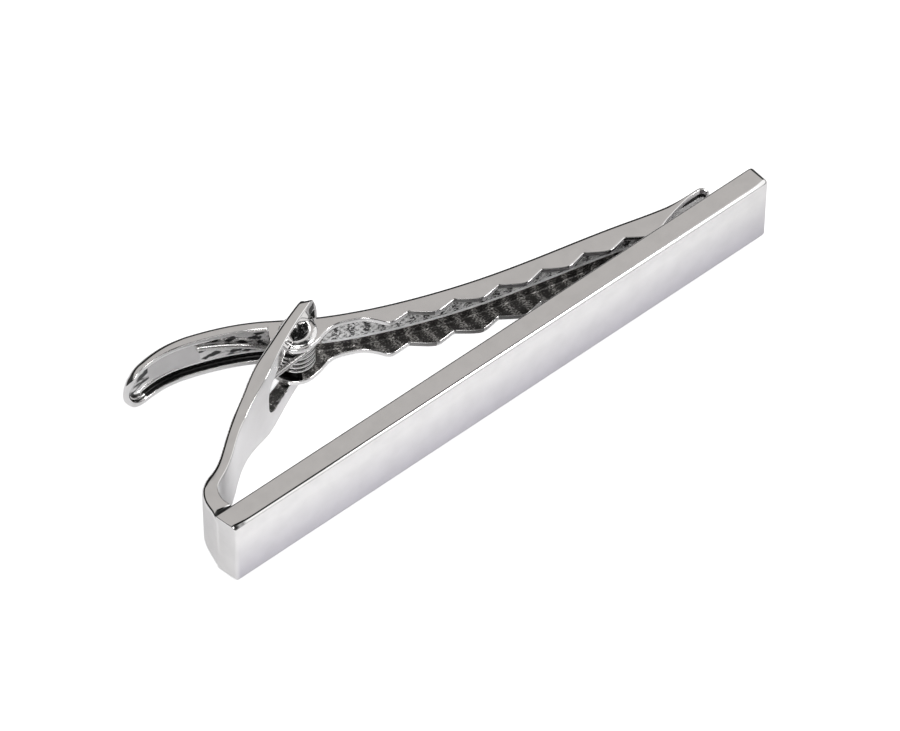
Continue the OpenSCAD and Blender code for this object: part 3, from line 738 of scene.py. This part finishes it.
def lever():
    """Columns of half sections from one flange's tip round the tail to the other flange's."""
    x_c = web_line[0][0] + CH_TOP  # centre of the tail's round end
    s_c = float(np.interp(x_c, web_line[:1000, 0], web_runs[:1000]))
    inner_line = web_line + WEB_T * web_right
    edge = flange_edge(s_c)
    rim_runs = np.linspace(web_runs[END_STEPS + 2], s_c, 40)
    rim_line = np.array([web_line[0]] + [inside_web(s, tail_depth(s)) for s in rim_runs])
    tip_r, soft_run = 0.25, 4

    def main_column(s, e, sign):
        w = web_at(s)
        v = inside_web(s, web_thick(s))
        top = CH_TOP
        if w[0] > TIP_X - tip_r:
            top -= tip_r - sqrt(max(0, tip_r ** 2 - (w[0] - TIP_X + tip_r) ** 2))
        soft = float(np.interp(s, [s_c, s_c + soft_run], [1, 0]))
        return half_section(lambda z: (*w, sign * z), lambda z: (*v, sign * z), (*e, sign * top),
                            (*e, sign * (top - WEB_T)), top, soft, s < 0)

    def fan_column(phi):
        def radius_on(line):
            def at(r):
                x = x_c - r * sin(phi)
                return (x, np.interp(x, line[:, 0], line[:, 1]), r * cos(phi))
            return at

        rim = radius_on(rim_line)
        return half_section(radius_on(web_line[:TAIL_END]), radius_on(inner_line[:TAIL_END]),
                            rim(CH_TOP), rim(CH_IN), CH_TOP, 1, True)

    columns = [main_column(s, e, 1) for s, e in edge[::-1]]
    columns += [fan_column(phi) for phi in np.linspace(0, pi, FAN + 2)[1:-1]]
    columns += [main_column(s, e, -1) for s, e in edge]
    rows = [c[0] for c in columns]
    inside_from, web_from = columns[0][1:]
    n = len(rows[0])
    runs = [s for s, e in edge]
    runs = runs[::-1] + [runs[0]] * FAN + runs

    tongue_from, knurl_from, band_from, hinge_half = LAST_CREST + 1.2, 2, 0.3, 2

    # the inside's materials paint light and shade: a darker copy of the metal, painted shade, and a
    # painted highlight on the ridge
    def kind(j, k):
        """Material of the face at point j of column k: the rim and the outside are polished,
        the inside changes along the run, and its lower side starts past the fan's middle."""
        upper, lower = k < len(edge), k > len(edge) + 30
        fan = len(edge) <= k < len(edge) + FAN
        run = runs[k]
        # the edges of the rising flanks are painted dark, a painted shade; the falling ones stay
        # polished
        if inside_from - 7 <= j < inside_from - 1 and FIRST_CREST < run < LAST_CREST:
            return POLISHED if ((run - FIRST) / PITCH) % 1 > CREST else FLANK
        if j < inside_from - 1 or fan and j < web_from - 1:
            return POLISHED
        # past the last tooth: painted shade on the upper inside, a painted highlight elsewhere
        if run > tongue_from:
            return SHADE if upper and inside_from <= j < web_from else RIDGE
        if lower and j < web_from + 1:
            return SHADE if run < band_from else BAND
        # the lower fold inside: a painted highlight
        if lower and j == web_from + 1 and abs(run) >= hinge_half:
            return RIDGE
        if run > knurl_from:
            return KNURL
        return STREAK if -7 < run < -1.5 or run < -11.4 else INSIDE

    s = Shape()
    s.grid(rows, kinds=[[kind(j, k) for j in range(n - 1)] for k in range(len(rows))])
    for row in (rows[0], rows[-1]):  # close the tip between its outer and inner halves
        outside, inside = row[: n // 2], row[n // 2 :][::-1]
        for i in range(n // 2 - 1):
            s.face([outside[i], outside[i + 1], inside[i + 1], inside[i]])
    cutters = [cylinder("ear_holes", PIVOT, 1.0, -3, 3),
               cylinder("coil_window", PIVOT, 1.67, -1.52, 1.52)]
    ob = s.build("lever_channel", [lever_metal, lever_shaded_inside_metal, knurl_metal, shade_metal,
                                   band_metal, ridge_highlight_metal, streak_metal, flank_shade_metal], cutters)
    for c in cutters:
        bpy.data.objects.remove(c, do_unlink=True)
    return ob


# ---------------------------------------------------------------- pin
def pin():
    """Both halves of the rivet, turned; the head's flare is uneven round the pin."""
    barrel, n = 0.95, 96
    head = [(barrel, 0), (barrel, 1.0), (barrel, 2.02), (1.3, 2.02)]  # radius, height
    head += [tuple(p) for p in arc((1.67, 2.03), 0.03, -90, 40, 5)]
    head += [(1.64, 2.09), (1.56, 2.13), (1.44, 2.165), (1.34, 2.18)]
    head += [tuple(p) for p in corner((1.26, 2.185), (1.08, 2.19), (0.96, 2.05), 5)]
    hollow = [(0.74, 1.84), (0.62, 1.74), (0.6, 1.6), (0.59, 1.4), (0.54, 1.36), (0.42, 1.36),
              (0.35, 1.4), (0.35, 2.1), (0.35, 2.95)]
    flare_least, flare_at = 0.24, radians(63)

    def flared(r, a):
        flare = flare_least + (1 - flare_least) * (0.5 + 0.5 * cos(a + flare_at)) ** 0.8
        return r if r <= barrel else barrel + (r - barrel) * flare

    # the hollow's faces take the painted shade of the rivet's hole
    kinds = [int(j >= len(head) - 1) for j in range(len(head + hollow))]
    s = Shape()
    for sign in (1, -1):
        rows = [[(PIVOT[0] + flared(r, a) * cos(a), PIVOT[1] + flared(r, a) * sin(a), sign * z)
                 for r, z in head + hollow] for a in (2 * pi * i / n for i in range(n))]
        s.grid(rows + [rows[0]], kinds=[kinds] * n)
        s.face([row[-1] for row in rows])
    return s.build("hollow_rivet", [pin_metal, hollow_shade_metal])


# ---------------------------------------------------------------- spring
def spring():
    """One wire: short leg into the eye's foot end, coil round the pin, long leg under the web."""
    wire_r, coil_r, clear = 0.21, 1.34, 0.05
    z0, z1, long_z = 0.88, -1.2, 0.9  # heights of the coil's start and end, and the leg's end
    short_steps, coil_steps, long_steps, sides = 40, 300, 50, 16
    rim = PIVOT - 5.4 * unit(25) + 0.65 * unit(115)  # in the eye's foot end
    way = rim - PIVOT
    reach = coil_r + wire_r + clear
    heading = 360 + degrees(atan2(way[1], way[0])) - degrees(asin(reach / np.linalg.norm(way)))
    leg = sqrt(way @ way - reach ** 2) + 0.75
    start = heading + 90
    off = WEB_OFF - WEB_T - wire_r - clear
    end = 90 - WEB_SLOPE + degrees(acos(off / coil_r)) + 360
    turn = 360 * 4 + (end - start) % 360
    long_start = sqrt(coil_r ** 2 - off ** 2)
    root = PIVOT + coil_r * unit(start)
    path = []
    for u in np.linspace(1, 0, short_steps)[:-1]:
        path.append((*(root + u * leg * unit(heading)), z0 - 0.22 * u ** 0.5 - 0.75 * u * u))
    for i in range(coil_steps + 1):
        p = PIVOT + coil_r * unit(start + turn * i / coil_steps)
        path.append((*p, z0 + (z1 - z0) * i / coil_steps))
    for u in np.linspace(0, 1, long_steps)[1:]:
        p = inside_web(-long_start - 6 * u, WEB_T + wire_r + clear)
        path.append((*p, z1 + (long_z - z1) * u ** 0.55))
    path = np.array(path)
    d = np.gradient(path, axis=0)
    d /= np.linalg.norm(d, axis=1)[:, None]
    rings = []
    for p, t in zip(path, d):
        a = np.cross(t, (0, 0, 1))
        a /= np.linalg.norm(a)
        b = np.cross(a, t)
        rings.append([p + wire_r * (cos(q) * a + sin(q) * b)
                      for q in np.linspace(0, 2 * pi, sides + 1)[:-1]])

    def end_ring(i, beyond):
        """A smaller ring just beyond the end i, which rounds the wire's cut end."""
        c = path[i] + beyond * d[i]
        return [c + 0.75 * (q - path[i]) for q in rings[i]]

    rings = [end_ring(0, -0.06)] + rings + [end_ring(-1, 0.06)]
    s = Shape()
    coil = range(71, 341)  # rings of the coil whose crevices are painted dark: painted shade where the turns meet
    s.grid(rings, closed=True, kinds=[[int(k in coil and j in (2, 3, 4)) for j in range(sides)]
                                      for k in range(len(rings))])
    s.face(rings[0])
    s.face(rings[-1])
    return s.build("close_wound_spring", [wire_metal, painted_dark_metal])


bar_piece, arm_piece, lever_piece, pin_piece, spring_piece = bar(), arm(), lever(), pin(), spring()
for piece, node, body, slot in (
        (bar_piece, "front_bar", "frame", "polished_bar"),
        (arm_piece, "hinge_arm", "frame", "polished_arm"),
        (lever_piece, "jaw_lever", "jaw", "polished_lever"),
        (pin_piece, "hinge_pin", "frame", "pin_steel")):
    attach(piece, body)
    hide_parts(node)
# the blend takes the mesh as it is, so the spring keeps no modifier
for modifier in list(spring_piece.modifiers):
    spring_piece.modifiers.remove(modifier)
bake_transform(spring_piece)
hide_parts("torsion_spring")


# ---------------------------------------------------------------- floor
FLOOR_Z, FLOOR_REACH = -0.00366, 1.5
CAMERA_GLOW, SEEN_GLOW = 0.65, 0.11  # the second for reflections too


def floor_material():
    """Pale floor that glows towards the camera, and less in reflections."""
    m = bpy.data.materials.new("pale_floor")
    m.use_nodes = True
    m.node_tree.nodes.clear()
    t = Nodes(m.node_tree)
    rays = t.add("LightPath").outputs
    camera_ray = rays["Is Camera Ray"]
    seen = t.math("MAXIMUM", t.math("MAXIMUM", camera_ray, rays["Is Glossy Ray"]),
                  rays["Is Transmission Ray"])
    strength = t.math("MULTIPLY_ADD", camera_ray, CAMERA_GLOW,
                      t.math("MULTIPLY", seen, SEEN_GLOW))
    glow = t.add("Emission", {"Strength": strength})
    diffuse = t.add("BsdfDiffuse", {"Color": (0.8, 0.8, 0.81, 1)})
    both = t.add("AddShader", {0: diffuse.outputs[0], 1: glow.outputs[0]})
    t.add("OutputMaterial", {"Surface": both.outputs[0]})
    return m


floor_mesh = bpy.data.meshes.new("floor")
floor_mesh.from_pydata([(x * FLOOR_REACH, y * FLOOR_REACH, FLOOR_Z)
                        for x, y in ((-1, -1), (1, -1), (1, 1), (-1, 1))], [], [(0, 1, 2, 3)])
floor_mesh.materials.append(floor_material())
floor = bpy.data.objects.new("floor", floor_mesh)
bpy.context.scene.collection.objects.link(floor)


# ---------------------------------------------------------------- world and lamps
def studio():
    """A white tent with grey and dark fields, which the metal mirrors. Directions: x, y, z."""
    world = bpy.data.worlds.new("studio")
    bpy.context.scene.world = world
    world.use_nodes = True
    world.node_tree.nodes.clear()
    t = Nodes(world.node_tree)
    x, y, z = t.axes(t.add("TexCoord").outputs["Generated"])

    def step(value, a, b):
        """0 at a, 1 at b, smooth between."""
        ends = (0, 1) if a < b else (1, 0)
        return t.ramp(value, min(a, b), max(a, b), *ends, "SMOOTHSTEP")

    def times(*values):
        total = values[0]
        for v in values[1:]:
            total = t.math("MULTIPLY", total, v)
        return total

    rear = times(step(y, 0.26, 0.36), step(x, -0.75, -0.55))
    overhead = times(step(x, 0.47, 0.385), step(x, -0.8, -0.6), step(y, 0.34, 0.26),
                     step(y, -0.42, -0.3), step(z, 0.45, 0.6))
    tone = (1, 1, 1)
    for share, level in (
            # grey above the back, dark below it
            (times(rear, step(z, 0.3, 0.5)), (0.49, 0.475, 0.465)),
            (times(rear, step(z, 0.61, 0.55), step(z, -0.2, -0.08)), (0.015,) * 3),
            # dark cards at the right and the left, and a grey one in front
            (times(step(x, 0.5, 0.62), step(z, -0.15, -0.06), step(z, 0.26, 0.16)), (0.05,) * 3),
            (times(step(x, -0.3, -0.5), step(z, -0.16, -0.09), step(z, 0.68, 0.58)), (0.04,) * 3),
            (times(step(y, 0.1, -0.1), step(z, -0.08, 0.0), step(z, 0.18, 0.08)), (0.2,) * 3),
            # overhead grey, black at its right
            (overhead, (0.3, 0.295, 0.29)),
            (times(overhead, step(x, 0.16, 0.26)), (0.01,) * 3),
            # dark over the camera's side
            (times(step(x, 0.32, 0.2), step(x, -0.95, -0.8), step(y, 0.1, 0.0),
                   step(z, 0.1, 0.2)), (0.03,) * 3)):
        tone = t.mix(share, tone, level)
    back = t.add("Background", {"Color": tone, "Strength": 1})
    t.add("OutputWorld", {"Surface": back.outputs[0]})


def lamp(name, place, target, size, watts):
    data = bpy.data.lights.new(name, "AREA")
    data.shape, data.size, data.energy = "SQUARE", size, watts
    ob = bpy.data.objects.new(name, data)
    bpy.context.scene.collection.objects.link(ob)
    ob.location = place
    ob.rotation_euler = (Vector(target) - Vector(place)).to_track_quat("-Z", "Y").to_euler()


studio()
lamp("soft_top", (-0.1, -0.3, 0.5), (0, 0, 0), 0.3, 0.4)
lamp("soft_left", (-0.06, -0.045, 0.09), (-0.03, -0.008, 0), 0.04, 0.05)
lamp("soft_right", (0.06, -0.06, 0.1), (0.03, -0.008, 0), 0.04, 0.045)


# ---------------------------------------------------------------- camera
def camera():
    """The photo's viewpoint, fitted to the bar's corners and the pivot."""
    turn, tilt, roll = radians(-40.188), radians(51.070), radians(0.223)
    bar_long, off_right, off_up, away = 0.05, -0.08352, 0.05474, 9  # the last 3 in bar lengths
    r = Vector((cos(turn), sin(turn), 0))
    ahead = Vector((-sin(turn) * cos(tilt), cos(turn) * cos(tilt), -sin(tilt)))
    up = r.cross(ahead)
    right, top = cos(roll) * r + sin(roll) * up, -sin(roll) * r + cos(roll) * up
    data = bpy.data.cameras.new("camera")
    data.sensor_fit, data.sensor_width, data.lens = "HORIZONTAL", 36, 249.77
    data.clip_start, data.clip_end = 0.05, 10
    ob = bpy.data.objects.new("camera", data)
    bpy.context.scene.collection.objects.link(ob)
    place = bar_long * (off_right * right + off_up * top - away * ahead) - Vector((0, 0, 0.003))
    m = Matrix((right, top, -ahead)).transposed().to_4x4()
    m.translation = place
    ob.matrix_world = m
    bpy.context.scene.camera = ob


camera()
bpy.context.scene.view_settings.view_transform = "Standard"
